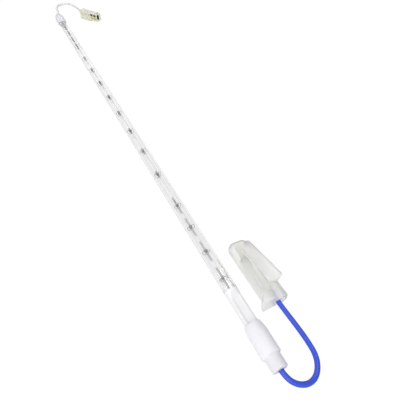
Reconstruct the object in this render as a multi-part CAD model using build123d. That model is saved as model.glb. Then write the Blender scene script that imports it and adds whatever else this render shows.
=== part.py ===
from build123d import *
import os
from math import cos, pi, radians, sin, tan

# Frame: the lamp lies along X on the plane z = 0, its middle over the origin.
# +X points to the end with the blue lead, and both connectors lie on the +Y side.

# Lamp
lamp_length = 369.0  # over both ceramic bases
filament_shift = -4.5  # of the filament's middle from the lamp's middle

# Quartz tube and its pressed seals
tube_dia = 6.0
tube_wall = 1.0
seal_thickness = 2.4
seal_width = 5.6
seal_to_crimp = 0.7  # gap inside a base, from the seal's end to the crimp sleeve
seal_in_view = 6.5  # flat length between a base and the ramp, were the filament in the middle
seal_ramp = 4.5  # length over which the round tube goes flat
seal_bend = 4.0  # radius of the bends at both ends of the ramp
dome_radius = 1.5  # rounding of the bore where it closes
dome_reach = 1.0  # how far the bore runs into the ramp

# Filament
coil_dia = 1.2
filament_wire_dia = 0.28
filament_sides = 12  # flats on the bars that stand for coil and wire
filament_margin = 0.6  # from the filament's end to the start of a ramp
middle_coils = 8
middle_coil_length = 6.0
end_coils = 4  # on each side
end_pitch = 15.3
end_coil_length = 12.0
end_gap = 25.5  # from the last middle coil to the first end coil, centre to centre

# Support rings
ring_wire = 0.25
ring_play = 0.05  # clearance to the coil inside and to the bore outside
ring_tail = 270.0  # degrees that the ring follows the bore
ring_step = 30.0  # degrees between the corners of the bent wire

# Leads and foils in the seals
rod_dia = 0.6
foil_width = 2.2
foil_thickness = 0.05
foil_lead_in = 1.5  # how far a foil starts before the base's mouth
foil_margin = 1.5  # from a foil's end to the seal's end
weld_length = 1.5  # overlap of a rod on its foil
weld_flat = 0.2  # from the rod's axis to the flat that lies on the foil

# Ceramic bases
base_length = 18.5
base_dia = 8.0
mouth_dia = 6.8
mouth_taper = 3.5
seat_dia = 6.4  # the stepped end that the fuser's holder takes
seat_length = 5.3
base_edge = 0.4  # edge breaks
cement_gap = 0.25
cement_recess = 0.8
slot_round = 0.8
lead_hole_play = 0.1

# Crimp sleeves inside the bases
crimp_dia = 2.6
crimp_play = 0.2
crimp_length = 6.3
crimp_grip = 3.0  # length of rod inside a sleeve
rod_play = 0.02

# Lead wires
lead_dia = 2.1
lead_in_base = 2.5
lead_clear = 0.1  # below a lead where it lies on the floor
lead_bend = 0.45  # share of a run that a bend takes at each end

# Near connector: a plug housing with a latch lever
near_length = 32.6
near_block_length = 21.4  # the raised block beside the lever
near_block_right = 2.2  # from the lead's axis to the block's right side
near_height = 8.0
near_deck = 5.0  # height beside the block and on the nose
near_right = 4.1  # from the lead's axis to the right side
near_left = 5.0  # from the lead's axis to the left side
near_nose_left = 5.4
near_nose_round = 3.0
near_nose_crown = 2.0
near_nose_overlap = 4.0
near_front_wall = 2.6
near_mouth_width = 2.0
near_mouth_height = 1.2
near_belly = 1.6  # rounding along the lower right edge
near_edge = 0.5
barb_width = 1.9
barb_length = 4.0
barb_flat = 1.4
near_lead_height = 2.5
near_lead_depth = 5.0
near_box_length = 14.0
lever_front = 28.4
lever_rear = 6.3
lever_point = 1.2  # how far the middle of the free end stands out
lever_left = 2.0  # just clear of the raised block
lever_right = 3.2
lever_flare = 1.8  # how much further right the free end reaches
lever_tip_width = 1.8
lever_taper = 3.0
lever_front_top = 8.0
lever_rear_top = 11.0
lever_front_thickness = 2.2
lever_rear_thickness = 1.2
lever_round = 0.6
lever_root = 3.0
lever_rib = 0.8  # stiffening rib under the lever's left edge
lever_rib_drop = 0.5  # how far the rib reaches below the top of the block
gusset_front = 17.0  # the slope that ties the lever's rear half to the block
gusset_rear = 3.4
gusset_margin = 0.2  # from the slope's foot to the rounded edge of the block

# Far connector: a receptacle housing with a windowed shroud
far_length = 23.6
far_body_length = 14.0
far_thickness = 5.6
far_height = 8.0
far_nose_lift = 1.5
far_edge = 0.5
far_lead_height = 5.8
far_lead_depth = 3.0
window_length = 2.8
window_sill = 0.7  # above the underside of the shroud
window_head = 0.3  # below the cavity's roof
window_rib = 1.4
window_wall = 0.8  # between the last window and the mouth
latch_height = 0.8
latch_length = 2.6
latch_width = 2.8

# Terminals and the cavities that hold them
terminal_width = 3.0
terminal_height = 2.7
far_terminal_height = 4.6
terminal_round = 1.0  # of the rolled sheet's corners
terminal_sheet = 0.35
terminal_neck_width = 2.0
far_terminal_back = 0.9  # from the shroud's mouth to the far terminal
barrel_dia = 2.8
barrel_bore = 1.4
barrel_length = 5.0
cavity_width = 3.6
cavity_height = 3.0
terminal_play = 0.05

# Values worked out from the sizes above
axis_height = base_dia / 2
lamp_end = lamp_length / 2
mouth_x = lamp_end - base_length
crimp_rear = lamp_end - lead_in_base
crimp_front = crimp_rear - crimp_length
seal_end = crimp_front - seal_to_crimp
flat_start = mouth_x - seal_in_view  # with the filament in the middle
ramp_start = flat_start - seal_ramp
bore_radius = tube_dia / 2 - tube_wall
bore_end = ramp_start + dome_reach
filament_end = ramp_start - filament_margin
first_end_coil = filament_end - end_coil_length / 2 - (end_coils - 1) * end_pitch
middle_pitch = 2 * (first_end_coil - end_gap) / (middle_coils - 1)
foil_start = mouth_x - foil_lead_in
foil_end = seal_end - foil_margin
lead_lay = lead_dia / 2 + lead_clear

# Routes of the leads: distance out past the lamp's end face, then y and z
blue_route = [
    (-lead_in_base, 0, axis_height),
    (2.4, 0, axis_height),
    (6.3, 2.5, 3.0),
    (8.0, 7.2, 1.7),
    (6.5, 11.9, lead_lay),
    (1.9, 15.4, lead_lay),
    (-4.2, 16.1, 1.2),
    (-12.0, 15.8, 1.6),
    (-19.6, 15.05, near_lead_height),
    (-26.9, 15.05, near_lead_height),
]
white_route = [
    (-lead_in_base, 0, axis_height),
    (4.5, 0, axis_height),
    (12.5, 1.5, 3.4),
    (20.5, 2.9, 2.6),
    (28.3, 3.5, 1.75),
    (35.2, 4.4, 1.3),
    (41.6, 6.7, lead_lay),
    (44.2, 10.6, lead_lay),
    (44.1, 15.3, lead_lay),
    (41.2, 19.0, 1.3),
    (33.9, 21.0, 2.1),
    (25.5, 21.2, 3.2),
    (17.0, 22.0, 4.3),
    (9.0, 22.3, 5.2),
    (1.26, 22.02, far_lead_height),
    (-3.6, 24.6, far_lead_height),
]


# Helpers
def rod(start, end, dia):
    return Plane((start, 0, 0), z_dir=(1, 0, 0)) * Cylinder(
        dia / 2, end - start, align=(Align.CENTER, Align.CENTER, Align.MIN)
    )


def block(x0, x1, y0, y1, z0, z1):
    return Pos((x0 + x1) / 2, (y0 + y1) / 2, (z0 + z1) / 2) * Box(x1 - x0, y1 - y0, z1 - z0)


def across(x):
    return Plane((x, 0, 0), x_dir=(0, 1, 0), z_dir=(1, 0, 0))


# Filament and support rings
def coil_places():
    middle = [((i - (middle_coils - 1) / 2) * middle_pitch, middle_coil_length) for i in range(middle_coils)]
    outer = [(first_end_coil + i * end_pitch, end_coil_length) for i in range(end_coils)]
    mirrored = [(-x, length) for x, length in reversed(outer)]
    return [(filament_shift + x, length) for x, length in mirrored + middle + outer]


def bar(start, end, dia):
    return extrude(across(start) * RegularPolygon(dia / 2, filament_sides), end - start)


def filament():
    wire = bar(filament_shift - filament_end, filament_shift + filament_end, filament_wire_dia)
    for x, length in coil_places():
        wire += bar(x - length / 2, x + length / 2, coil_dia)
    return wire


def support_ring(x, turn):
    inner = coil_dia / 2 + ring_play + ring_wire / 2
    outer = bore_radius - ring_play - ring_wire / 2
    spiral = 360 + ring_tail  # half a turn on the coil, half a turn outward, then along the bore
    steps = round(spiral / ring_step)
    inside = []
    outside = []
    for i in range(steps + 1):
        angle = spiral * i / steps
        radius = inner + (outer - inner) * min(max(angle / 180 - 1, 0), 1)
        y = cos(radians(turn + angle))
        z = sin(radians(turn + angle))
        inside.append(((radius - ring_wire / 2) * y, (radius - ring_wire / 2) * z))
        outside.append(((radius + ring_wire / 2) * y, (radius + ring_wire / 2) * z))
    flat = Polygon(*inside, *reversed(outside), align=None)
    return extrude(across(x) * flat, ring_wire / 2, both=True)


# Seal pieces at the +X end
def foil():
    top = -weld_flat
    return block(foil_start, foil_end, -foil_width / 2, foil_width / 2, top - foil_thickness, top)


def inner_lead(start):
    end = foil_start + weld_length
    below = block(foil_start, end, -rod_dia, rod_dia, -rod_dia, -weld_flat)
    return rod(start, end, rod_dia) - below


def outer_lead():
    start = foil_end - weld_length
    below = block(start, foil_end, -rod_dia, rod_dia, -rod_dia, -weld_flat)
    return rod(start, crimp_front + crimp_grip, rod_dia) - below


# Quartz tube
def pressed_outline(half_middle, half_end):
    upper = [
        (-seal_end, half_end),
        (filament_shift - flat_start, half_end),
        (filament_shift - ramp_start, half_middle),
        (filament_shift + ramp_start, half_middle),
        (filament_shift + flat_start, half_end),
        (seal_end, half_end),
    ]
    lower = [(x, -y) for x, y in reversed(upper)]
    outline = Polygon(*upper, *lower, align=None)
    bends = [v for v in outline.vertices() if abs(v.X) < mouth_x]
    return fillet(bends, seal_bend)


def pressed_rod():
    clear = tube_dia / 2 + seal_thickness / 4
    glass = rod(-seal_end, seal_end, tube_dia)
    glass &= extrude(Plane.XZ * pressed_outline(clear, seal_thickness / 2), tube_dia, both=True)
    return glass & extrude(pressed_outline(clear, seal_width / 2), tube_dia, both=True)


def quartz_tube(seal_pieces):
    section = Pos(filament_shift, bore_radius / 2) * Rectangle(2 * bore_end, bore_radius)
    section = fillet(section.vertices().group_by(Axis.Y)[-1], dome_radius)
    glass = pressed_rod() - revolve(section, Axis.X)
    for piece in seal_pieces:
        glass -= piece
    return glass


# Ceramic base, cement and crimp sleeve at the +X end
def seal_slot(start, end):
    width = seal_width + 2 * cement_gap
    height = seal_thickness + 2 * cement_gap
    return extrude(across(start) * RectangleRounded(width, height, slot_round), end - start)


def ceramic_base():
    shoulder = lamp_end - seat_length
    outline = Polygon(
        (mouth_x, 0),
        (mouth_x, mouth_dia / 2),
        (mouth_x + mouth_taper, base_dia / 2),
        (shoulder - base_edge, base_dia / 2),
        (shoulder, base_dia / 2 - base_edge),
        (shoulder, seat_dia / 2),
        (lamp_end - base_edge, seat_dia / 2),
        (lamp_end, seat_dia / 2 - base_edge),
        (lamp_end, 0),
        align=None,
    )
    base = revolve(outline, Axis.X)
    base -= seal_slot(mouth_x, seal_end)
    base -= rod(seal_end, crimp_rear, crimp_dia + 2 * crimp_play)
    base -= rod(crimp_rear, lamp_end, lead_dia + 2 * lead_hole_play)
    return base


def cement_fill():
    return seal_slot(mouth_x + cement_recess, seal_end) - pressed_rod()


def crimp_sleeve():
    sleeve = rod(crimp_front, crimp_rear, crimp_dia)
    return sleeve - rod(crimp_front, crimp_front + crimp_grip, rod_dia + 2 * rod_play)


# Lead wires
def lead_points(route, side):
    return [Vector(side * (lamp_end + out), y, z) for out, y, z in route]


def lead_wire(name, points):
    radii = []
    for a, b, c in zip(points, points[1:], points[2:]):
        turn = (b - a).get_angle(c - b)
        shorter = min((b - a).length, (c - b).length)
        radii.append(lead_bend * shorter / tan(radians(turn / 2)))
    path = FilletPolyline(*points, radius=radii)
    wire = sweep(Plane(path @ 0, z_dir=path % 0) * Circle(lead_dia / 2), path=path)
    section = pi * lead_dia**2 / 4
    print(name, "length", round(path.length, 1), "bend radii", [round(r, 1) for r in radii])
    print(name, "volume over section times length", round(wire.volume / section / path.length, 4))
    return wire


# Connectors, in a frame with x from the rear to the mating end and z = 0 on the floor
def connector_place(points, lead_depth):
    end = points[-1]
    floor = Plane((end.X, end.Y, 0), x_dir=end - points[-2], z_dir=(0, 0, 1))
    return floor.location * Pos(-lead_depth, 0, 0)


def terminal(rear, lead_height, box_start, box_end, box_floor, box_height):
    axis = Pos(0, 0, lead_height)
    barrel_end = rear + barrel_length
    bore = axis * rod(rear, barrel_end, barrel_bore)
    barrel = axis * rod(rear, barrel_end, barrel_dia) - bore
    half = terminal_width / 2
    top = box_floor + box_height
    box = block(box_start, box_end, -half, half, box_floor, top)
    box = fillet(box.edges().filter_by(Axis.X), terminal_round)
    hollow = half - terminal_sheet
    inside = box_start + terminal_sheet
    inner = block(inside, box_end, -hollow, hollow, box_floor + terminal_sheet, top - terminal_sheet)
    box -= fillet(inner.edges().filter_by(Axis.X), terminal_round - terminal_sheet)
    neck_floor = lead_height - barrel_dia / 2
    neck_half = terminal_neck_width / 2
    neck_start = rear + barrel_length / 2
    neck_top = lead_height - barrel_bore / 2
    neck = block(neck_start, inside, -neck_half, neck_half, neck_floor, neck_top) - bore
    return barrel + neck + box


def near_cavity_floor():
    return near_lead_height - cavity_height / 2


def near_housing():
    body_plan = Polygon(
        (0, -near_right),
        (near_block_length, -near_right),
        (near_block_length, near_left),
        (barb_length, near_left),
        (barb_flat, near_left + barb_width),
        (0, near_left + barb_width),
        align=None,
    )
    body = extrude(body_plan, near_height)
    body -= block(0, near_block_length, -near_right, near_block_right, near_deck, near_height)
    body = fillet(body.edges().filter_by(Axis.Z).group_by(Axis.Y)[-1], near_edge)
    body = fillet(body.faces().sort_by(Axis.Z)[-1].edges(), near_edge)
    body = fillet(lower_right_edge(body), near_belly)
    nose_start = near_block_length - near_nose_overlap
    nose = block(nose_start, near_length, -near_right, near_nose_left, 0, near_deck)
    nose = fillet(nose.edges().filter_by(Axis.Z).group_by(Axis.X)[-1], near_nose_round)
    nose = fillet(nose.faces().sort_by(Axis.Z)[-1].edges().sort_by(Axis.X)[1:], near_nose_crown)
    nose = fillet(lower_right_edge(nose), near_belly)
    floor = near_cavity_floor()
    half = cavity_width / 2
    housing = body + nose + lever() + lever_gusset()
    front = near_length - near_front_wall
    housing -= block(0, front, -half, half, floor, floor + cavity_height)
    mouth = near_mouth_width / 2
    mouth_floor = near_lead_height - near_mouth_height / 2
    return housing - block(front, near_length, -mouth, mouth, mouth_floor, mouth_floor + near_mouth_height)


def lower_right_edge(solid):
    return solid.edges().filter_by(Axis.X).group_by(Axis.Z)[0].sort_by(Axis.Y)[0]


def lever_gusset():
    foot = near_height - lever_rib_drop
    slope = (lever_rear_top - lever_front_top) / (lever_front - lever_rear + lever_point)
    reach = near_left - near_edge - gusset_margin
    sections = []
    for x in (gusset_front, lever_rear):
        rise = slope * (lever_front - x)
        inner = lever_left - lever_rib
        outer = inner + (reach - inner) * rise / (lever_rear_top - lever_front_top)
        sections.append((x, inner, outer, lever_front_top + rise))
    inner = near_block_right + near_edge
    sections.append((gusset_rear, inner, reach, near_height + gusset_margin / 2))
    faces = []
    for x, inner, outer, top in sections:
        outline = Polygon((inner, foot), (inner, top), (outer, near_height), (outer, foot), align=None)
        faces.append(Plane.YZ.offset(x) * outline)
    return loft(faces, ruled=True)


def lever():
    plan = Polygon(
        (lever_front, -lever_right),
        (lever_front, lever_tip_width - lever_right),
        (lever_front - lever_taper, lever_left),
        (lever_rear, lever_left),
        (lever_rear - lever_point, -lever_left),
        (lever_rear, -lever_right - lever_flare),
        align=None,
    )
    plan = fillet(plan.vertices(), lever_round)
    rear = lever_rear - lever_point
    side = Polygon(
        (lever_front, lever_front_top - lever_front_thickness),
        (lever_front, lever_front_top),
        (rear, lever_rear_top),
        (rear, lever_rear_top - lever_rear_thickness),
        align=None,
    )
    plate = extrude(plan, lever_rear_top) & extrude(Plane.XZ * side, lever_rear_top, both=True)
    root = block(
        lever_front - lever_root, lever_front - lever_round, -lever_right + lever_round,
        -lever_right + lever_tip_width, near_deck / 2, lever_front_top - lever_front_thickness / 2
    )
    under = Polygon(
        (lever_front, 0),
        (lever_front, lever_front_top),
        (rear, lever_rear_top),
        (rear, 0),
        align=None,
    )
    rib = extrude(Plane.XZ * under, lever_rear_top, both=True) & block(
        lever_rear + lever_round, lever_front - lever_taper, lever_left - lever_rib, lever_left,
        near_height - lever_rib_drop, lever_rear_top
    )
    return plate + root + rib


def far_cavity_floor():
    return far_lead_height - cavity_height / 2


def far_housing():
    half = far_thickness / 2
    body = block(0, far_body_length, -half, half, 0, far_height)
    shroud = block(far_body_length, far_length, -half, half, far_nose_lift, far_height)
    housing = body + shroud
    housing = fillet(housing.edges().filter_by(Axis.X), far_edge)
    latch_start = far_length - latch_length - far_edge
    latch_side = Polygon(
        (latch_start, far_height),
        (latch_start, far_height + latch_height),
        (latch_start + latch_length, far_height),
        align=None,
    )
    housing += extrude(Plane.XZ * latch_side, latch_width / 2, both=True)
    floor = far_cavity_floor()
    cavity = cavity_width / 2
    shroud_floor = far_nose_lift + window_sill
    roof = floor + cavity_height
    housing -= block(0, far_length, -cavity, cavity, floor, roof)
    housing -= block(far_body_length, far_length, -cavity, cavity, shroud_floor, roof)
    last = far_length - window_wall - window_length
    for start in (last - window_rib - window_length, last):
        housing -= block(start, start + window_length, -half, half, shroud_floor, roof - window_head)
    return housing


# Assembly
lift = Pos(0, 0, axis_height)
blue_points = lead_points(blue_route, 1)
white_points = lead_points(white_route, -1)
near_place = connector_place(blue_points, near_lead_depth)
far_place = connector_place(white_points, far_lead_depth)

end_pieces = {
    "moly_foil": foil(),
    "outer_lead": outer_lead(),
    "crimp_sleeve": crimp_sleeve(),
    "ceramic_base": ceramic_base(),
    "cement_fill": cement_fill(),
}
ends = {"near": Rot(0, 0, 0), "far": Rot(0, 0, 180)}
inner_leads = {
    "near": inner_lead(filament_end + filament_shift),
    "far": inner_lead(filament_end - filament_shift),
}
in_seal = [side * end_pieces[name] for side in ends.values() for name in ("moly_foil", "outer_lead")]
in_seal += [side * inner_leads[end] for end, side in ends.items()]

nodes = {"quartz_tube": lift * quartz_tube(in_seal), "filament": lift * filament()}
for number, (x, length) in enumerate(coil_places(), start=1):
    nodes[f"support_ring_{number:02d}"] = lift * support_ring(x, 180 * (number % 2))
for end, side in ends.items():
    nodes[f"{end}_inner_lead"] = lift * side * inner_leads[end]
    for name, piece in end_pieces.items():
        nodes[f"{end}_{name}"] = lift * side * piece
nodes["blue_lead"] = lead_wire("blue_lead", blue_points)
nodes["white_lead"] = lead_wire("white_lead", white_points)
nodes["near_housing"] = near_place * near_housing()
nodes["far_housing"] = far_place * far_housing()

near_box_end = near_length - near_front_wall - terminal_play
near_floor = near_cavity_floor() + terminal_play
nodes["near_terminal"] = near_place * terminal(
    near_lead_depth, near_lead_height, near_box_end - near_box_length, near_box_end, near_floor,
    terminal_height
)
far_box_start = far_body_length + terminal_play
far_floor = far_nose_lift + window_sill + terminal_play
nodes["far_terminal"] = far_place * terminal(
    far_lead_depth, far_lead_height, far_box_start, far_length - far_terminal_back, far_floor,
    far_terminal_height
)

os.makedirs("parts", exist_ok=True)
for name, shape in nodes.items():
    export_step(shape, f"parts/{name}.step")
    print(name, len(shape.solids()), round(shape.volume, 2))
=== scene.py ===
from math import atan2, copysign, cos, pi, radians, sin

import bmesh
import bpy
from mathutils import Matrix, Vector


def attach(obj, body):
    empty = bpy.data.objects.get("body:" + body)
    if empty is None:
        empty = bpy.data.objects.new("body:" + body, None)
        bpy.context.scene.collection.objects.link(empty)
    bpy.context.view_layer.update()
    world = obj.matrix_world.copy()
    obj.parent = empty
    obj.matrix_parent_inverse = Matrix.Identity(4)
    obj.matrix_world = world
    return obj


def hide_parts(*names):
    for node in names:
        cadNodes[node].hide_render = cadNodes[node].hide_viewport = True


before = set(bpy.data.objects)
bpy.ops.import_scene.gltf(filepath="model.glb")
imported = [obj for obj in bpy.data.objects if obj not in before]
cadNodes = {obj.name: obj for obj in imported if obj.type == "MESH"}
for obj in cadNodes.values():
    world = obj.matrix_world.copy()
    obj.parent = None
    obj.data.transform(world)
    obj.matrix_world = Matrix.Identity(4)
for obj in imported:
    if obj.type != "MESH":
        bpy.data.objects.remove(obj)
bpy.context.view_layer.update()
mm = 0.001
lamp = dict(axis=4.0, end=184.5, shift=-4.5)  # millimetres, as in every piece below
print("frame loaded:", len(cadNodes), "nodes")


# Shared shader groups

def addSockets(group, inputs, outputs):
    for name, kind, value in inputs:
        socket = group.interface.new_socket(name, in_out="INPUT", socket_type=kind)
        socket.default_value = value
    for name, kind in outputs:
        group.interface.new_socket(name, in_out="OUTPUT", socket_type=kind)
    return group.nodes.new("NodeGroupInput"), group.nodes.new("NodeGroupOutput")


def setRange(node, fromPair=None, toPair=None):
    for side, pair in (("From", fromPair), ("To", toPair)):
        if pair:
            node.inputs[f"{side} Min"].default_value, node.inputs[f"{side} Max"].default_value = pair


grainLook = dict(fineDetail=4, coarseDetail=3, fineShare=0.4, span=(0.3, 0.7))


def makeGrainGroup():
    group = bpy.data.node_groups.new("surfaceGrain", "ShaderNodeTree")
    entry, leave = addSockets(
        group,
        [("Fine", "NodeSocketFloat", 2500.0), ("Coarse", "NodeSocketFloat", 300.0),
         ("Stretch", "NodeSocketVector", (1, 1, 1))],
        [("Shade", "NodeSocketFloat"), ("Height", "NodeSocketFloat")],
    )
    place = group.nodes.new("ShaderNodeTexCoord")
    scaled = group.nodes.new("ShaderNodeVectorMath")
    scaled.operation = "MULTIPLY"
    fine = group.nodes.new("ShaderNodeTexNoise")
    fine.inputs["Detail"].default_value = grainLook["fineDetail"]
    coarse = group.nodes.new("ShaderNodeTexNoise")
    coarse.inputs["Detail"].default_value = grainLook["coarseDetail"]
    both = group.nodes.new("ShaderNodeMix")
    both.inputs["Factor"].default_value = grainLook["fineShare"]
    link = group.links.new
    link(place.outputs["Object"], scaled.inputs[0])
    link(entry.outputs["Stretch"], scaled.inputs[1])
    for noise, scale in ((fine, "Fine"), (coarse, "Coarse")):
        link(scaled.outputs["Vector"], noise.inputs["Vector"])
        link(entry.outputs[scale], noise.inputs["Scale"])
    link(coarse.outputs["Fac"], both.inputs["A"])
    link(fine.outputs["Fac"], both.inputs["B"])
    link(both.outputs["Result"], leave.inputs["Shade"])
    link(fine.outputs["Fac"], leave.inputs["Height"])
    return group


def makeFrostGroup():
    # a roughness that sets in where the tube goes over into its seals
    group = bpy.data.node_groups.new("sealFrost", "ShaderNodeTree")
    entry, leave = addSockets(
        group,
        [("From", "NodeSocketFloat", 0.15), ("To", "NodeSocketFloat", 0.16),
         ("Most", "NodeSocketFloat", 0.4)],
        [("Roughness", "NodeSocketFloat")],
    )
    place = group.nodes.new("ShaderNodeTexCoord")
    split = group.nodes.new("ShaderNodeSeparateXYZ")
    centred = group.nodes.new("ShaderNodeMath")
    centred.inputs[1].default_value = -lamp["shift"] * mm
    away = group.nodes.new("ShaderNodeMath")
    away.operation = "ABSOLUTE"
    mask = group.nodes.new("ShaderNodeMapRange")
    mask.interpolation_type = "SMOOTHSTEP"
    link = group.links.new
    link(place.outputs["Object"], split.inputs["Vector"])
    link(split.outputs["X"], centred.inputs[0])
    link(centred.outputs[0], away.inputs[0])
    link(away.outputs[0], mask.inputs["Value"])
    link(entry.outputs["From"], mask.inputs["From Min"])
    link(entry.outputs["To"], mask.inputs["From Max"])
    link(entry.outputs["Most"], mask.inputs["To Max"])
    link(mask.outputs["Result"], leave.inputs["Roughness"])
    return group


def makePaintedShadingGroup():
    # the mask for painted light and shade: goes from 0 to 1 between two places along an axis
    group = bpy.data.node_groups.new("paintedShading", "ShaderNodeTree")
    entry, leave = addSockets(
        group,
        [("Axis", "NodeSocketVector", (0, 0, 1)), ("From", "NodeSocketFloat", 0.0),
         ("To", "NodeSocketFloat", 0.01)],
        [("Mask", "NodeSocketFloat")],
    )
    place = group.nodes.new("ShaderNodeTexCoord")
    along = group.nodes.new("ShaderNodeVectorMath")
    along.operation = "DOT_PRODUCT"
    mask = group.nodes.new("ShaderNodeMapRange")
    link = group.links.new
    link(place.outputs["Object"], along.inputs[0])
    link(entry.outputs["Axis"], along.inputs[1])
    link(along.outputs["Value"], mask.inputs["Value"])
    link(entry.outputs["From"], mask.inputs["From Min"])
    link(entry.outputs["To"], mask.inputs["From Max"])
    link(mask.outputs["Result"], leave.inputs["Mask"])
    return group


grainGroup = makeGrainGroup()
frostGroup = makeFrostGroup()
paintedShadingGroup = makePaintedShadingGroup()


# Finishes

def addGroup(material, group, values):
    node = material.node_tree.nodes.new("ShaderNodeGroup")
    node.node_tree = group
    for name, value in values.items():
        node.inputs[name].default_value = value
    return node


def addDepth(material, depth):
    # thick glass takes a little light, so the walls show where they are seen edge on
    nodes = material.node_tree.nodes
    absorb = nodes.new("ShaderNodeVolumeAbsorption")
    absorb.inputs["Color"].default_value = (*depth["colour"], 1)
    absorb.inputs["Density"].default_value = depth["density"]
    material.node_tree.links.new(absorb.outputs["Volume"], nodes["Material Output"].inputs["Volume"])


def addFrost(material, frost):
    # the pressed seals are rougher than the drawn tube between them
    nodes = material.node_tree.nodes
    link = material.node_tree.links.new
    roughness = nodes["Principled BSDF"].inputs["Roughness"]
    start, end = frost["reach"]
    frosted = addGroup(material, frostGroup, {"From": start * mm, "To": end * mm, "Most": frost["rough"]})
    rougher = nodes.new("ShaderNodeMath")
    rougher.operation = "MAXIMUM"
    link(roughness.links[0].from_socket, rougher.inputs[0])
    link(frosted.outputs["Roughness"], rougher.inputs[1])
    link(rougher.outputs[0], roughness)


def addPaintedShading(material, paintedShading):
    # painted light and shade: metal takes a lighter or darker colour along one axis, standing in for how
    # light falls on it
    nodes = material.node_tree.nodes
    link = material.node_tree.links.new
    colour = nodes["Principled BSDF"].inputs["Base Color"]
    start, end = paintedShading["reach"]
    shadingMask = addGroup(material, paintedShadingGroup, {"Axis": paintedShading["axis"], "From": start * mm, "To": end * mm})
    mixed = nodes.new("ShaderNodeMix")
    mixed.data_type = "RGBA"
    mixed.inputs["B"].default_value = (*paintedShading["colour"], 1)
    link(shadingMask.outputs["Mask"], mixed.inputs["Factor"])
    link(colour.links[0].from_socket, mixed.inputs["A"])
    link(mixed.outputs["Result"], colour)


def makeFinish(name, look):
    material = bpy.data.materials.new(name)
    material.use_nodes = True
    nodes = material.node_tree.nodes
    link = material.node_tree.links.new
    shader = nodes["Principled BSDF"]
    for socket, value in look.get("sockets", {}).items():
        shader.inputs[socket].default_value = value
    grain = addGroup(material, grainGroup, {
        "Fine": look["fine"], "Coarse": look["coarse"], "Stretch": look.get("stretch", (1, 1, 1))})
    tint = nodes.new("ShaderNodeMapRange")
    setRange(tint, grainLook["span"])
    link(grain.outputs["Shade"], tint.inputs["Value"])
    colour = nodes.new("ShaderNodeMix")
    colour.data_type = "RGBA"
    colour.inputs["A"].default_value = (*look["dark"], 1)
    colour.inputs["B"].default_value = (*look["light"], 1)
    link(tint.outputs["Result"], colour.inputs["Factor"])
    link(colour.outputs["Result"], shader.inputs["Base Color"])
    rough = nodes.new("ShaderNodeMapRange")
    setRange(rough, grainLook["span"], look["rough"])
    link(grain.outputs["Shade"], rough.inputs["Value"])
    link(rough.outputs["Result"], shader.inputs["Roughness"])
    bump = nodes.new("ShaderNodeBump")
    bump.inputs["Strength"].default_value = look["bump"]
    bump.inputs["Distance"].default_value = look.get("bumpDepth", 0.02) * mm
    link(grain.outputs["Height"], bump.inputs["Height"])
    link(bump.outputs["Normal"], shader.inputs["Normal"])
    if "depth" in look:
        addDepth(material, look["depth"])
    if "frost" in look:
        addFrost(material, look["frost"])
    if "paintedShading" in look:
        addPaintedShading(material, look["paintedShading"])
    return material


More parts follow.
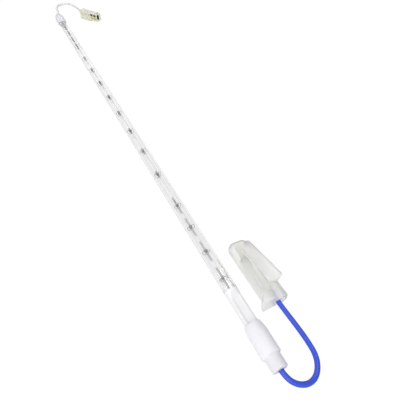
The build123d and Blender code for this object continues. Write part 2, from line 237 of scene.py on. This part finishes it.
finishes = dict(
    quartz=makeFinish("quartz", dict(
        light=(1.0, 0.998, 1.0), dark=(0.99, 0.987, 0.994), fine=900, coarse=60, stretch=(0.03, 1, 1),
        rough=(0.0, 0.02), bump=0.03, depth=dict(colour=(0.2, 0.2, 0.26), density=10.0),
        frost=dict(reach=(151, 158), rough=0.45),
        sockets={"Transmission Weight": 1.0, "IOR": 1.458})),
    quartzBore=makeFinish("quartzBore", dict(
        light=(1.0, 0.998, 1.0), dark=(0.99, 0.987, 0.994), fine=900, coarse=60, stretch=(0.03, 1, 1),
        rough=(0.0, 0.02), bump=0.03, frost=dict(reach=(151, 157), rough=0.3),
        sockets={"Transmission Weight": 1.0, "IOR": 1.458})),
    pressedQuartz=makeFinish("pressedQuartz", dict(
        light=(1.0, 0.998, 1.0), dark=(0.975, 0.973, 0.985), fine=1800, coarse=260, stretch=(0.4, 1, 1),
        rough=(0.22, 0.5), bump=0.4, bumpDepth=0.05, sockets={"Transmission Weight": 0.15, "IOR": 1.458})),
    # painted light: the filament and the support wire go from dark at the far end to light grey towards the
    # near end, a painted highlight for how they catch the light through the glass
    tungsten=makeFinish("tungsten", dict(
        light=(0.08, 0.08, 0.085), dark=(0.04, 0.04, 0.045), fine=4000, coarse=500,
        rough=(0.4, 0.6), bump=0.2, paintedShading=dict(axis=(1, 0, 0), reach=(-40, 130), colour=(0.6, 0.6, 0.61)),
        sockets={"Metallic": 1.0, "Specular Tint": (0.25, 0.25, 0.26, 1)})),
    supportWire=makeFinish("supportWire", dict(
        light=(0.08, 0.08, 0.085), dark=(0.04, 0.04, 0.045), fine=4000, coarse=700,
        rough=(0.4, 0.6), bump=0.2, paintedShading=dict(axis=(1, 0, 0), reach=(-40, 130), colour=(0.5, 0.5, 0.51)),
        sockets={"Metallic": 1.0, "Specular Tint": (0.25, 0.25, 0.26, 1)})),
    molybdenum=makeFinish("molybdenum", dict(
        light=(0.72, 0.72, 0.74), dark=(0.6, 0.6, 0.62), fine=3000, coarse=400, stretch=(0.2, 1, 1),
        rough=(0.28, 0.45), bump=0.2, sockets={"Metallic": 1.0})),
    platedSteel=makeFinish("platedSteel", dict(
        light=(0.68, 0.67, 0.64), dark=(0.55, 0.54, 0.52), fine=3000, coarse=500,
        rough=(0.25, 0.4), bump=0.15, sockets={"Metallic": 1.0})),
    ceramic=makeFinish("ceramic", dict(
        light=(0.92, 0.915, 0.94), dark=(0.88, 0.875, 0.905), fine=5200, coarse=420,
        rough=(0.42, 0.6), bump=0.35, bumpDepth=0.015,
        sockets={"Subsurface Weight": 0.12, "Subsurface Scale": 0.0006, "Subsurface Radius": (1, 1, 1)})),
    seatCeramic=makeFinish("seatCeramic", dict(
        light=(0.84, 0.835, 0.86), dark=(0.8, 0.795, 0.825), fine=5200, coarse=420,
        rough=(0.5, 0.66), bump=0.35, bumpDepth=0.015,
        sockets={"Subsurface Weight": 0.12, "Subsurface Scale": 0.0006, "Subsurface Radius": (1, 1, 1)})),
    cement=makeFinish("cement", dict(
        light=(0.8, 0.78, 0.74), dark=(0.62, 0.6, 0.56), fine=3500, coarse=900,
        rough=(0.75, 0.95), bump=0.8, bumpDepth=0.06)),
    blueLead=makeFinish("blueLead", dict(
        light=(0.045, 0.1, 0.7), dark=(0.035, 0.078, 0.62), fine=3500, coarse=350,
        rough=(0.32, 0.42), bump=0.2, bumpDepth=0.01,
        sockets={"Specular IOR Level": 0.3, "Coat Weight": 0.2, "Coat Roughness": 0.2})),
    whiteLead=makeFinish("whiteLead", dict(
        light=(0.93, 0.93, 0.925), dark=(0.89, 0.89, 0.88), fine=3500, coarse=350,
        rough=(0.4, 0.52), bump=0.2, bumpDepth=0.01)),
    milkyNylon=makeFinish("milkyNylon", dict(
        light=(1.0, 0.998, 0.985), dark=(0.985, 0.983, 0.967), fine=6000, coarse=260,
        rough=(0.56, 0.7), bump=0.25, bumpDepth=0.01,
        sockets={"Transmission Weight": 0.6, "IOR": 1.19, "Subsurface Weight": 0.8, "Subsurface Scale": 0.003,
                 "Subsurface Radius": (1, 1, 1)})),
    yellowNylon=makeFinish("yellowNylon", dict(
        light=(0.85, 0.86, 0.68), dark=(0.81, 0.82, 0.63), fine=6000, coarse=260,
        rough=(0.36, 0.5), bump=0.25, bumpDepth=0.01,
        sockets={"Subsurface Weight": 0.6, "Subsurface Scale": 0.002, "Subsurface Radius": (1, 1, 1)})),
    brass=makeFinish("brass", dict(
        light=(0.88, 0.85, 0.48), dark=(0.76, 0.72, 0.36), fine=4500, coarse=600,
        rough=(0.32, 0.48), bump=0.15, sockets={"Metallic": 1.0})),
    # painted shade: the far terminal is painted dark olive above about 5 mm, where its upper half lies in
    # shadow under the housing's roof
    brassPaintedShade=makeFinish("brassPaintedShade", dict(
        light=(0.88, 0.86, 0.5), dark=(0.78, 0.75, 0.4), fine=4500, coarse=600,
        rough=(0.32, 0.48), bump=0.15,
        paintedShading=dict(axis=(0, 0, 1), reach=(4.6, 5.4), colour=(0.07, 0.065, 0.02)),
        sockets={"Metallic": 1.0})),
)
print("finishes made:", len(finishes))


# Helpers for the pieces

def finishPiece(bm, name, looks, replaced, sharpFrom):
    # edges that turn by more than sharpFrom degrees stay sharp
    mesh = bpy.data.meshes.new(name)
    bmesh.ops.scale(bm, vec=(mm, mm, mm), verts=bm.verts)
    bm.to_mesh(mesh)
    bm.free()
    for look in looks:
        mesh.materials.append(finishes[look])
    mesh.shade_smooth()
    mesh.set_sharp_from_angle(angle=radians(sharpFrom))
    piece = bpy.data.objects.new(name, mesh)
    bpy.context.scene.collection.objects.link(piece)
    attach(piece, "root")
    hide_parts(*replaced)


def disc(radius):
    return lambda angle: (radius * cos(angle), radius * sin(angle))


def rounded(width, height, power):
    def section(angle):
        y, z = cos(angle), sin(angle)
        return width / 2 * copysign(abs(y) ** power, y), height / 2 * copysign(abs(z) ** power, z)
    return section


def ease(t):
    return t * t * (3 - 2 * t)


def loft(bm, stations, segments, join=False):
    # one ring of edges, pulled from station to station and reshaped at each
    made = bmesh.ops.create_circle(bm, segments=segments, radius=1)["verts"]
    ring = sorted(made, key=lambda v: atan2(v.co.y, v.co.x))
    angles = [atan2(v.co.y, v.co.x) for v in ring]
    first = None
    for x, section in stations:
        if first is None:
            first = ring
        else:
            edges = [bm.edges.get((ring[i - 1], ring[i])) for i in range(segments)]
            pulled = bmesh.ops.extrude_edge_only(bm, edges=edges)["geom"]
            fresh = {v for v in pulled if isinstance(v, bmesh.types.BMVert)}
            ring = [next(e.other_vert(v) for e in v.link_edges if e.other_vert(v) in fresh) for v in ring]
        for vert, angle in zip(ring, angles):
            vert.co = (x, *section(angle))
    ends = [[bm.edges.get((r[i - 1], r[i])) for i in range(segments)] for r in (first, ring)]
    if join:
        bmesh.ops.bridge_loops(bm, edges=ends[0] + ends[1])
    else:
        bmesh.ops.holes_fill(bm, edges=ends[0] + ends[1], sides=0)


def sharpEdges(bm, degrees=50):
    return [e for e in bm.edges if e.is_manifold and e.calc_face_angle(0) > radians(degrees)]


def atFarEnd(bm):
    bmesh.ops.rotate(bm, verts=bm.verts, cent=(0, 0, 0), matrix=Matrix.Rotation(pi, 3, "Z"))


def lift(bm):
    bmesh.ops.translate(bm, verts=bm.verts, vec=(0, 0, lamp["axis"]))


# Camera and leads

view = dict(place=(207.19, -43.03, 133.53), right=(0.45557, 0.89020, 0.0), up=(-0.65068, 0.33300, 0.68244),
            lens=31.5, sensor=36, shift=(-0.000875, -0.0006), clip=0.005)  # the clip in metres


def makeCamera():
    data = bpy.data.cameras.new("camera")
    data.sensor_width = view["sensor"]
    data.lens = view["lens"]
    data.shift_x, data.shift_y = view["shift"]
    data.clip_start = view["clip"]
    camera = bpy.data.objects.new("camera", data)
    right, up = Vector(view["right"]).normalized(), Vector(view["up"]).normalized()
    turn = Matrix((right, up, right.cross(up))).transposed()
    camera.matrix_world = Matrix.Translation(Vector(view["place"]) * mm) @ turn.to_4x4()
    bpy.context.scene.collection.objects.link(camera)
    bpy.context.scene.camera = camera


makeCamera()

leadLook = dict(dia=2.1, steps=10, roundness=7, blueLength=0.0538, whiteLength=0.1043)  # lengths in metres
blueRoute = [
    (182.0, 0.0, 4.0), (186.9, 0.0, 4.0), (190.8, 2.5, 3.0), (192.5, 7.2, 1.7), (191.0, 11.9, 1.15),
    (186.4, 15.4, 1.15), (180.3, 16.1, 1.2), (172.5, 15.8, 1.6), (164.9, 15.05, 2.5), (157.6, 15.05, 2.5),
]
whiteRoute = [
    (-182.0, 0.0, 4.0), (-189.0, 0.0, 4.0), (-197.0, 1.5, 3.4), (-205.0, 2.9, 2.6), (-212.8, 3.5, 1.75),
    (-219.7, 4.4, 1.3), (-226.1, 6.7, 1.15), (-228.7, 10.6, 1.15), (-228.6, 15.3, 1.15), (-225.7, 19.0, 1.3),
    (-218.4, 21.0, 2.1), (-210.0, 21.2, 3.2), (-201.5, 22.0, 4.3), (-193.5, 22.3, 5.2),
    (-185.76, 22.02, 5.8), (-180.9, 24.6, 5.8),
]


def makeLead(name, route, finish, replaced):
    curve = bpy.data.curves.new(name, "CURVE")
    curve.dimensions = "3D"
    spline = curve.splines.new("NURBS")
    spline.points.add(len(route) - 1)
    for point, place in zip(spline.points, route):
        point.co = (*(Vector(place) * mm), 1)
    spline.order_u = 3
    spline.use_endpoint_u = True
    spline.resolution_u = leadLook["steps"]
    curve.bevel_depth = leadLook["dia"] / 2 * mm
    curve.bevel_resolution = leadLook["roundness"]
    curve.use_fill_caps = True
    curve.materials.append(finishes[finish])
    lead = bpy.data.objects.new(name, curve)
    bpy.context.scene.collection.objects.link(lead)
    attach(lead, "root")
    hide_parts(replaced)
    return lead


blueCord = makeLead("blue_lead_wire", blueRoute, "blueLead", "blue_lead")
whiteCord = makeLead("white_lead_wire", whiteRoute, "whiteLead", "white_lead")
print("camera and leads set")


# Quartz envelope with its pressed seals

quartz = dict(
    radius=3.0, bore=2.0, ramp=155.0, flat=159.5, sealEnd=175.0, middle=60.0, segments=64,
    sealWidth=5.6, sealHeight=2.4, corner=0.55, webDip=0.28, webRise=2.5, rimShare=0.62,
    before=((-5, 0.0), (-3, 0.0), (-1.2, 0.02)),  # from the ramp's start, with how far the tube is pressed
    rampPress=(0.04, 0.97), rampSteps=10,
    after=((1.2, 0.99), (3, 1.0)),  # from the ramp's end
    tip=(0.3, 0.97),  # the edge at the seal's end, and how far it is pressed
    boreBack=1, boreLead=(4, 2),  # the bore starts to close before the ramp
    boreSteps=12, slitReach=6.5, slitWidth=1.2, slitHeight=0.1,
    frostFrom=155.2)


def sealSection(press):
    flat = rounded(quartz["sealWidth"], quartz["sealHeight"], quartz["corner"])
    web = quartz["rimShare"] * quartz["sealWidth"] / 2

    def section(angle):
        y, z = quartz["radius"] * cos(angle), quartz["radius"] * sin(angle)
        flatY, flatZ = flat(angle)
        inside = max(0.0, 1 - abs(flatY) / web)
        flatZ *= 1 - quartz["webDip"] * min(1.0, quartz["webRise"] * inside)
        return y + (flatY - y) * press, z + (flatZ - z) * press
    return section


def sealStations(sign):
    shift = lamp["shift"] * sign
    start, flat = quartz["ramp"] + shift, quartz["flat"] + shift
    low, high = quartz["rampPress"]
    rows = [(start + x, press) for x, press in quartz["before"]]
    for i in range(quartz["rampSteps"] + 1):
        t = i / quartz["rampSteps"]
        rows.append((start + (flat - start) * t, low + (high - low) * ease(t)))
    rows += [(flat + x, press) for x, press in quartz["after"]]
    edge, press = quartz["tip"]
    rows += [(quartz["sealEnd"] - edge, 1.0), (quartz["sealEnd"], press)]
    return [(sign * x, sealSection(press)) for x, press in rows]


def boreStations():
    # the bore closes to a thin slit as the seal is pressed
    start, reach = quartz["ramp"] - quartz["boreBack"], quartz["ramp"] + quartz["slitReach"]
    across = 2 * quartz["bore"]
    rows = [(start - x, disc(quartz["bore"])) for x in quartz["boreLead"]]
    for i in range(quartz["boreSteps"] + 1):
        t = i / quartz["boreSteps"]
        width = across + (quartz["slitWidth"] - across) * t ** 3
        height = across + (quartz["slitHeight"] - across) * ease(t)
        rows.append((start + (reach - start) * t, rounded(width, height, 1)))
    return rows


def makeQuartz():
    bm = bmesh.new()
    tube = [(x, disc(quartz["radius"])) for x in (-quartz["middle"], quartz["middle"])]
    loft(bm, sealStations(-1)[::-1] + tube + sealStations(1), quartz["segments"])
    bmesh.ops.recalc_face_normals(bm, faces=bm.faces)
    skin = set(bm.faces)
    rows = boreStations()
    stations = [(lamp["shift"] - x, section) for x, section in reversed(rows)]
    stations += [(lamp["shift"] + x, section) for x, section in rows]
    loft(bm, stations, quartz["segments"])
    bore = [f for f in bm.faces if f not in skin]
    bmesh.ops.recalc_face_normals(bm, faces=bore)
    bmesh.ops.reverse_faces(bm, faces=bore)
    for face in bore:
        face.material_index = 1
    for face in skin:
        if abs(face.calc_center_median().x - lamp["shift"]) > quartz["frostFrom"]:
            face.material_index = 2
    lift(bm)
    looks = ("quartz", "quartzBore", "pressedQuartz")
    finishPiece(bm, "quartz_envelope", looks, ["quartz_tube"], 60)


makeQuartz()
print("quartz envelope made")


# Filament: wound lengths joined by straight wire

coil = dict(dia=1.0, wire=0.13, sides=6, stepsPerTurn=12, pitch=0.36, bend=0.3, bendSteps=4,
            middleCount=8, middlePitch=22.0, middleLength=6.0,
            endCount=4, endFirst=102.5, endPitch=15.3, endLength=12.0)


def coilPlaces():
    half = (coil["middleCount"] - 1) / 2
    middle = [((i - half) * coil["middlePitch"], coil["middleLength"]) for i in range(coil["middleCount"])]
    outer = [(coil["endFirst"] + i * coil["endPitch"], coil["endLength"]) for i in range(coil["endCount"])]
    places = [(-x, length) for x, length in reversed(outer)] + middle + outer
    return [(lamp["shift"] + x, length) for x, length in places]


def windCoil(length):
    # one wound length about x = 0, with a bend to the straight wire on each end
    bm = bmesh.new()
    radius = (coil["dia"] - coil["wire"]) / 2
    bend, quarter = coil["bend"], pi / 2
    room = length - 2 * bend
    turns = round(room / coil["pitch"])
    steps = turns * coil["stepsPerTurn"]
    circle = bmesh.ops.create_circle(bm, segments=coil["sides"], radius=coil["wire"] / 2)["verts"]
    bmesh.ops.translate(bm, verts=circle, vec=(-room / 2, radius, 0))
    shape = circle + list(bm.edges)
    runs = [((0, 0, 0), (1, 0, 0), 2 * pi * turns, steps, room / steps),
            ((room / 2 + bend, radius, 0), (0, 1, 0), quarter, coil["bendSteps"], 0)]
    for centre, axis, angle, count, advance in runs:
        shape = bmesh.ops.spin(bm, geom=shape, cent=centre, axis=axis, angle=angle, steps=count,
                               dvec=(advance, 0, 0), use_duplicate=False)["geom_last"]
        shape = [g for g in shape if not isinstance(g, bmesh.types.BMFace)]
    shape = circle + [e for e in bm.edges if e.is_boundary and all(v in circle for v in e.verts)]
    bmesh.ops.spin(bm, geom=shape, cent=(-room / 2 - bend, radius, 0), axis=(0, 1, 0), angle=-quarter,
                   steps=coil["bendSteps"], dvec=(0, 0, 0), use_duplicate=False)
    wound = bpy.data.meshes.new("wound")
    bm.to_mesh(wound)
    bm.free()
    return wound


def makeFilament():
    bm = bmesh.new()
    lengths = {length: windCoil(length) for x, length in coilPlaces()}
    lastEnd = None
    for x, length in coilPlaces():
        before = set(bm.verts)
        bm.from_mesh(lengths[length])
        fresh = [v for v in bm.verts if v not in before]
        bmesh.ops.translate(bm, verts=fresh, vec=(x, 0, 0))
        rims = {e for v in fresh for e in v.link_edges if e.is_boundary}
        start = [e for e in rims if e.verts[0].co.x < x]
        if lastEnd:
            bmesh.ops.bridge_loops(bm, edges=lastEnd + start)
        lastEnd = [e for e in rims if e.verts[0].co.x > x]
    bmesh.ops.holes_fill(bm, edges=[e for e in bm.edges if e.is_boundary], sides=0)
    bmesh.ops.recalc_face_normals(bm, faces=bm.faces)
    lift(bm)
    finishPiece(bm, "filament_coils", ("tungsten",), ["filament"], 80)


makeFilament()
print("filament made")


# Support rings: round wire, hooked on a coil and sprung against the bore

ringWire = dict(dia=0.24, play=0.03, turns=4.5, pitch=0.27, tail=270, sides=6,
                stepsPerTurn=20, reachSteps=12, tailSteps=24, turnEach=2.4)  # radians from one to the next


def windSupport():
    # tight turns on the coil, then a loop that rests on the bore
    bm = bmesh.new()
    inner = coil["dia"] / 2 + ringWire["play"] + ringWire["dia"] / 2
    outer = quartz["bore"] - ringWire["play"] - ringWire["dia"] / 2
    grip = ringWire["pitch"] * ringWire["turns"]
    steps = round(ringWire["turns"] * ringWire["stepsPerTurn"])
    shape = bmesh.ops.create_circle(bm, segments=ringWire["sides"], radius=ringWire["dia"] / 2)["verts"]
    bmesh.ops.translate(bm, verts=shape, vec=(-grip / 2, inner, 0))
    shape += list(bm.edges)
    runs = [(0, 360 * ringWire["turns"], steps, grip / steps),
            ((outer - inner) / 2, 180, ringWire["reachSteps"], 0),
            (0, ringWire["tail"], ringWire["tailSteps"], 0)]
    for centre, angle, count, advance in runs:
        shape = bmesh.ops.spin(bm, geom=shape, cent=(0, centre, 0), axis=(1, 0, 0), dvec=(advance, 0, 0),
                               angle=radians(angle), steps=count, use_duplicate=False)["geom_last"]
        shape = [g for g in shape if not isinstance(g, bmesh.types.BMFace)]
    bmesh.ops.holes_fill(bm, edges=[e for e in bm.edges if e.is_boundary], sides=0)
    bmesh.ops.recalc_face_normals(bm, faces=bm.faces)
    wound = bpy.data.meshes.new("support")
    bm.to_mesh(wound)
    bm.free()
    return wound


def makeSupports():
    bm = bmesh.new()
    wound = windSupport()
    for number, (x, length) in enumerate(coilPlaces()):
        start = len(bm.verts)
        bm.from_mesh(wound)
        bm.verts.ensure_lookup_table()
        own = bm.verts[start:]
        turn = Matrix.Rotation(ringWire["turnEach"] * number, 3, "X")
        bmesh.ops.rotate(bm, verts=own, cent=(0, 0, 0), matrix=turn)
        bmesh.ops.translate(bm, verts=own, vec=(x, 0, 0))
    lift(bm)
    rings = [f"support_ring_{i + 1:02d}" for i in range(len(coilPlaces()))]
    finishPiece(bm, "support_rings", ("supportWire",), rings, 80)


makeSupports()
print("support rings made")


# Ceramic bases

base = dict(length=18.5, radius=4.0, mouth=3.4, taper=3.5, seat=3.2, seatLength=5.3, edge=0.4, edgeSteps=4,
            slotWidth=6.1, slotHeight=2.9, slotCorner=0.45, crimpHole=1.5, crimpRear=182.0, leadHole=1.15,
            rimMargin=0.1, segments=72)


def makeBase(end, far):
    bm = bmesh.new()
    mouth, tip = lamp["end"] - base["length"], lamp["end"]
    shoulder = tip - base["seatLength"]
    slot = rounded(base["slotWidth"], base["slotHeight"], base["slotCorner"])
    stations = [
        (mouth, disc(base["mouth"])),
        (mouth + base["taper"], disc(base["radius"])),
        (shoulder, disc(base["radius"])),
        (shoulder, disc(base["seat"])),
        (tip, disc(base["seat"])),
        (tip, disc(base["leadHole"])),
        (base["crimpRear"], disc(base["leadHole"])),
        (base["crimpRear"], disc(base["crimpHole"])),
        (quartz["sealEnd"], disc(base["crimpHole"])),
        (quartz["sealEnd"], slot),
        (mouth, slot),
    ]
    loft(bm, stations, base["segments"], join=True)
    bmesh.ops.recalc_face_normals(bm, faces=bm.faces)
    rims = [e for e in sharpEdges(bm) if e.verts[0].co.x == e.verts[1].co.x
            and max(v.co.yz.length for v in e.verts) > base["seat"] - base["rimMargin"]]
    bmesh.ops.bevel(bm, geom=rims, offset=base["edge"], offset_type="OFFSET", segments=base["edgeSteps"],
                    profile=0.5, affect="EDGES", material=-1)
    for face in bm.faces:
        if face.calc_center_median().x > shoulder:  # the seat for the lamp holder takes a darker, rougher finish
            face.material_index = 1
    if far:
        atFarEnd(bm)
    lift(bm)
    looks = ("ceramic", "seatCeramic")
    finishPiece(bm, f"{end}_base", looks, [f"{end}_ceramic_base"], 30)


for end in ("near", "far"):
    makeBase(end, end == "far")
print("ceramic bases made")


# Far connector housing, in a frame with x from its rear to its mouth

shell = dict(
    length=23.6, body=14.0, half=2.8, height=8.0, lift=1.5, edge=0.22, edgeSteps=3, flatWithin=1, touch=0.01,
    sill=2.2, head=7.0, inside=1.8, tunnel=4.3, window=(14.7, 22.9),
    post=dict(rear=18.4, front=18.9, inset=0.1, sink=0.3),
    latch=dict(rear=20.5, front=23.1, half=1.4, rise=0.8, sink=0.2),
    place=(-183.55, 23.19, 0.0), turn=atan2(0.4689, 0.8833))


def cut(bm, axis, *values):
    for value in values:
        spot = Vector((0, 0, 0))
        spot[axis] = value
        normal = Vector((0, 0, 0))
        normal[axis] = 1
        everything = bm.verts[:] + bm.edges[:] + bm.faces[:]
        bmesh.ops.bisect_plane(bm, geom=everything, plane_co=spot, plane_no=normal)


def facesIn(bm, low, high):
    # faces whose middle lies in a box
    touch = shell["touch"]

    def inside(face):
        return all(a - touch < c < b + touch for a, c, b in zip(low, face.calc_center_median(), high))
    return [face for face in bm.faces if inside(face)]


def tunnelThrough(bm, first, second):
    bmesh.ops.delete(bm, geom=facesIn(bm, *first) + facesIn(bm, *second), context="FACES")
    bmesh.ops.bridge_loops(bm, edges=[e for e in bm.edges if e.is_boundary])


def addBlock(bm, low, high):
    made = bmesh.ops.create_cube(bm, size=1)["verts"]
    low, high = Vector(low), Vector(high)
    bmesh.ops.scale(bm, vec=high - low, verts=made)
    bmesh.ops.translate(bm, vec=(low + high) / 2, verts=made)
    return made


def makeShell():
    bm = bmesh.new()
    half, inside, sill, head, top = (shell[k] for k in ("half", "inside", "sill", "head", "height"))
    body, mouth, tunnel = shell["body"], shell["length"], shell["tunnel"]
    start, end = shell["window"]
    addBlock(bm, (0, -half, 0), (body, half, top))
    cut(bm, 2, shell["lift"])
    front = facesIn(bm, (body, -half, shell["lift"]), (body, half, top))
    pulled = bmesh.ops.extrude_face_region(bm, geom=front)["geom"]
    bmesh.ops.delete(bm, geom=front, context="FACES")
    ahead = [g for g in pulled if isinstance(g, bmesh.types.BMVert)]
    bmesh.ops.translate(bm, verts=ahead, vec=(mouth - body, 0, 0))
    cut(bm, 0, start, end)
    cut(bm, 2, sill, head)
    tunnelThrough(bm, ((start, -half, sill), (end, -half, head)), ((start, half, sill), (end, half, head)))
    cut(bm, 1, -inside, inside)
    tunnelThrough(bm, ((end, -inside, sill), (end, inside, head)),
                  ((mouth, -inside, sill), (mouth, inside, head)))
    cut(bm, 2, tunnel)
    tunnelThrough(bm, ((0, -inside, tunnel), (0, inside, head)),
                  ((start, -inside, tunnel), (start, inside, head)))
    bmesh.ops.dissolve_limit(bm, angle_limit=radians(shell["flatWithin"]), verts=bm.verts, edges=bm.edges)
    bmesh.ops.recalc_face_normals(bm, faces=bm.faces)
    post, latch = shell["post"], shell["latch"]
    inner, outer = inside + post["inset"], half - post["inset"]
    for low, high in ((-outer, -inner), (inner, outer)):
        addBlock(bm, (post["rear"], low, sill - post["sink"]), (post["front"], high, head + post["sink"]))
    bmesh.ops.bevel(bm, geom=sharpEdges(bm), offset=shell["edge"], offset_type="OFFSET",
                    segments=shell["edgeSteps"], profile=0.5, affect="EDGES", clamp_overlap=True, material=-1)
    wedge = addBlock(bm, (latch["rear"], -latch["half"], top - latch["sink"]),
                     (latch["front"], latch["half"], top + latch["rise"]))
    for vert in wedge:  # its top slopes down to the mouth
        if vert.co.x > latch["rear"] + shell["touch"] and vert.co.z > top:
            vert.co.z = top
    bmesh.ops.rotate(bm, verts=bm.verts, cent=(0, 0, 0), matrix=Matrix.Rotation(shell["turn"], 3, "Z"))
    bmesh.ops.translate(bm, verts=bm.verts, vec=shell["place"])
    finishPiece(bm, "far_shell", ("yellowNylon",), ["far_housing"], 35)


makeShell()
print("far housing made")


# CAD nodes that stay get their finishes

# the far terminal takes the brass with painted shade on its upper half
keptLooks = {"near_terminal": "brass", "far_terminal": "brassPaintedShade", "near_housing": "milkyNylon"}
for end in ("near", "far"):
    for part in ("inner_lead", "moly_foil", "outer_lead"):
        keptLooks[f"{end}_{part}"] = "molybdenum"
    keptLooks[f"{end}_crimp_sleeve"] = "platedSteel"
    keptLooks[f"{end}_cement_fill"] = "cement"
for name, look in keptLooks.items():
    cadNodes[name].data.materials.clear()
    cadNodes[name].data.materials.append(finishes[look])
print("CAD nodes finished:", len(keptLooks))


# Floor, world and lamps

def backgroundRays(nodes, link):
    # 1 for rays that look at the background: straight, mirrored or through glass
    path = nodes.new("ShaderNodeLightPath")
    total = path.outputs["Is Camera Ray"]
    for name in ("Is Glossy Ray", "Is Transmission Ray"):
        larger = nodes.new("ShaderNodeMath")
        larger.operation = "MAXIMUM"
        link(total, larger.inputs[0])
        link(path.outputs[name], larger.inputs[1])
        total = larger.outputs[0]
    return total


table = dict(reach=3, drop=0.0001,  # metres
             colour=(0.85, 0.85, 0.86), shade=(0.16, 0.05), glow=(0.9, 0.86))


def makeFloor():
    bm = bmesh.new()
    bmesh.ops.create_grid(bm, x_segments=1, y_segments=1, size=table["reach"])
    bmesh.ops.translate(bm, verts=bm.verts, vec=(0, 0, -table["drop"]))
    mesh = bpy.data.meshes.new("floor")
    bm.to_mesh(mesh)
    bm.free()
    material = bpy.data.materials.new("floor")
    material.use_nodes = True
    nodes = material.node_tree.nodes
    link = material.node_tree.links.new
    nodes.clear()
    leave = nodes.new("ShaderNodeOutputMaterial")
    plain = nodes.new("ShaderNodeBsdfDiffuse")
    plain.inputs["Color"].default_value = (*table["colour"], 1)
    seen = nodes.new("ShaderNodeBsdfDiffuse")
    glow = nodes.new("ShaderNodeEmission")
    path = nodes.new("ShaderNodeLightPath")
    for target, share in ((seen.inputs["Color"], table["shade"]), (glow.inputs["Strength"], table["glow"])):
        through = nodes.new("ShaderNodeMapRange")  # straight to the camera, or by way of glass
        setRange(through, toPair=share)
        link(path.outputs["Is Glossy Ray"], through.inputs["Value"])
        link(through.outputs["Result"], target)
    white = nodes.new("ShaderNodeAddShader")
    link(seen.outputs[0], white.inputs[0])
    link(glow.outputs[0], white.inputs[1])
    choose = nodes.new("ShaderNodeMixShader")
    link(backgroundRays(nodes, link), choose.inputs["Fac"])
    link(plain.outputs[0], choose.inputs[1])
    link(white.outputs[0], choose.inputs[2])
    link(choose.outputs[0], leave.inputs["Surface"])
    mesh.materials.append(material)
    floor = bpy.data.objects.new("floor", mesh)
    bpy.context.scene.collection.objects.link(floor)


makeFloor()

sky = dict(colour=(0.95, 0.96, 1.0), light=0.38, above=1.28, sides=0.48, fade=(0.3, 0.85),
           back=0.35, turn=(0.0, 0.6))


def makeWorld():
    world = bpy.data.worlds.new("world")
    bpy.context.scene.world = world
    world.use_nodes = True
    nodes = world.node_tree.nodes
    link = world.node_tree.links.new
    light = nodes["Background"]
    light.inputs["Color"].default_value = (*sky["colour"], 1)
    light.inputs["Strength"].default_value = sky["light"]
    seen = nodes.new("ShaderNodeBackground")
    seen.inputs["Color"].default_value = (1, 1, 1, 1)
    way = nodes.new("ShaderNodeTexCoord")
    split = nodes.new("ShaderNodeSeparateXYZ")
    side = nodes.new("ShaderNodeMath")
    side.operation = "ABSOLUTE"
    fade = nodes.new("ShaderNodeMapRange")  # glass and metal see a white sweep with a dim room at its sides
    fade.interpolation_type = "SMOOTHSTEP"
    setRange(fade, sky["fade"], (sky["above"], sky["sides"]))
    path = nodes.new("ShaderNodeLightPath")
    white = nodes.new("ShaderNodeMath")
    white.operation = "MAXIMUM"
    link(way.outputs["Generated"], split.inputs["Vector"])
    link(split.outputs["Y"], side.inputs[0])
    link(side.outputs[0], fade.inputs["Value"])
    behind = nodes.new("ShaderNodeMapRange")  # and it is darker behind the camera
    setRange(behind, sky["turn"], (1.0, sky["back"]))
    link(split.outputs["X"], behind.inputs["Value"])
    total = nodes.new("ShaderNodeMath")
    total.operation = "MULTIPLY"
    link(fade.outputs["Result"], total.inputs[0])
    link(behind.outputs["Result"], total.inputs[1])
    link(total.outputs[0], white.inputs[0])
    link(path.outputs["Is Camera Ray"], white.inputs[1])
    link(white.outputs[0], seen.inputs["Strength"])
    choose = nodes.new("ShaderNodeMixShader")
    link(backgroundRays(nodes, link), choose.inputs["Fac"])
    link(light.outputs[0], choose.inputs[1])
    link(seen.outputs[0], choose.inputs[2])
    link(choose.outputs[0], nodes["World Output"].inputs["Surface"])


makeWorld()

lampSet = dict(  # metres and watts
    key=dict(place=(0.47, -0.57, 0.6), aim=(0.1, 0, 0), size=0.8, power=5.15),
    fill=dict(place=(0.75, 0.05, 0.3), aim=(0.16, 0.01, 0), size=0.4, power=0.42),
    top=dict(place=(-0.1, 0.24, 0.73), aim=(0.05, 0, 0), size=0.22, power=1.3),
)


def makeLamps():
    for name, setup in lampSet.items():
        data = bpy.data.lights.new(name, "AREA")
        data.size = setup["size"]
        data.energy = setup["power"]
        light = bpy.data.objects.new(name, data)
        place = Vector(setup["place"])
        light.location = place
        light.rotation_euler = (Vector(setup["aim"]) - place).to_track_quat("-Z", "Y").to_euler()
        bpy.context.scene.collection.objects.link(light)


makeLamps()
bpy.context.scene.view_settings.view_transform = "Standard"
print("floor, world and lamps set")
